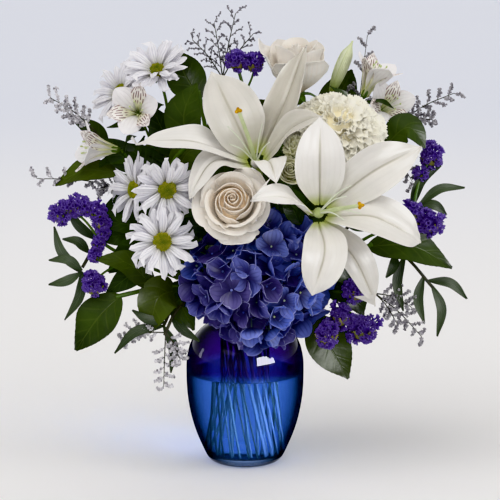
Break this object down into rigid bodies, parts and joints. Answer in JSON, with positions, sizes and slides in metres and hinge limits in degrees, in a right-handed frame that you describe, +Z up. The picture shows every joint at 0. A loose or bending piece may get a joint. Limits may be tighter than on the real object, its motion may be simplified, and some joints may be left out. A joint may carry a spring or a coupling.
{
  "type": "hydrangeas in a vase",
  "caption": "One-sided bouquet of a blue hydrangea, white lilies, roses, daisies and foliage standing in a blue glass vase of water.",
  "frame": {"origin": "centre of the flat underside of the vase", "axes": "+Z up along the vase's axis, -Y towards the front of the bouquet, +X to the right as seen from the front"},
  "size_m": [0.3504, 0.2237, 0.3882],
  "materials": {
    "glass": "gloss",
    "water": "gloss",
    "stem": "satin",
    "leaf": "satin",
    "grey_leaf": "matte",
    "twig": "matte",
    "hydrangea_petal": "matte",
    "lily_petal": "satin",
    "lily_centre": "satin",
    "rose_petal": "matte",
    "carnation_petal": "matte",
    "daisy_petal": "matte",
    "alstroemeria_petal": "satin",
    "statice": "matte"
  },
  "bodies": {
    "root": {"vase": "glass", "water": "water", "hydrangea_head": "hydrangea_petal", "hydrangea_stem": "stem", "rose_front_head": "rose_petal", "rose_front_stem": "stem", "rose_back_head": "rose_petal", "rose_back_stem": "stem", "rosebud": "carnation_petal", "carnation_head": "carnation_petal", "carnation_stem": "stem", "small_carnation": "carnation_petal", "lily_stem": "stem", "lily_bud": "lily_centre", "lily_left_centre": "lily_centre", "lily_left_petal_1": "lily_petal", "lily_left_petal_2": "lily_petal", "lily_left_petal_3": "lily_petal", "lily_left_petal_4": "lily_petal", "lily_left_petal_5": "lily_petal", "lily_left_petal_6": "lily_petal", "lily_right_centre": "lily_centre", "lily_right_petal_1": "lily_petal", "lily_right_petal_2": "lily_petal", "lily_right_petal_3": "lily_petal", "lily_right_petal_4": "lily_petal", "lily_right_petal_5": "lily_petal", "lily_right_petal_6": "lily_petal", "daisy_head_1": "daisy_petal", "daisy_head_2": "daisy_petal", "daisy_head_3": "daisy_petal", "daisy_head_4": "daisy_petal", "daisy_head_5": "daisy_petal", "daisy_stem": "stem", "alstroemeria_flower_1": "alstroemeria_petal", "alstroemeria_flower_2": "alstroemeria_petal", "alstroemeria_flower_3": "alstroemeria_petal", "alstroemeria_flower_4": "alstroemeria_petal", "alstroemeria_stem_left": "stem", "alstroemeria_stem_right": "stem", "statice_top": "statice", "statice_left": "statice", "statice_right": "statice", "statice_low": "statice", "limonium_top": "twig", "limonium_left": "twig", "limonium_right": "twig", "limonium_low_left": "twig", "limonium_low_right": "twig", "salal_left_high": "leaf", "salal_left_low": "leaf", "salal_right_high": "leaf", "salal_right_low": "leaf", "salal_back_left": "leaf", "salal_back_right": "leaf", "eucalyptus_left": "grey_leaf", "eucalyptus_low_left": "grey_leaf", "eucalyptus_right": "grey_leaf", "eucalyptus_low_right": "grey_leaf"}
  },
  "joints": []
}
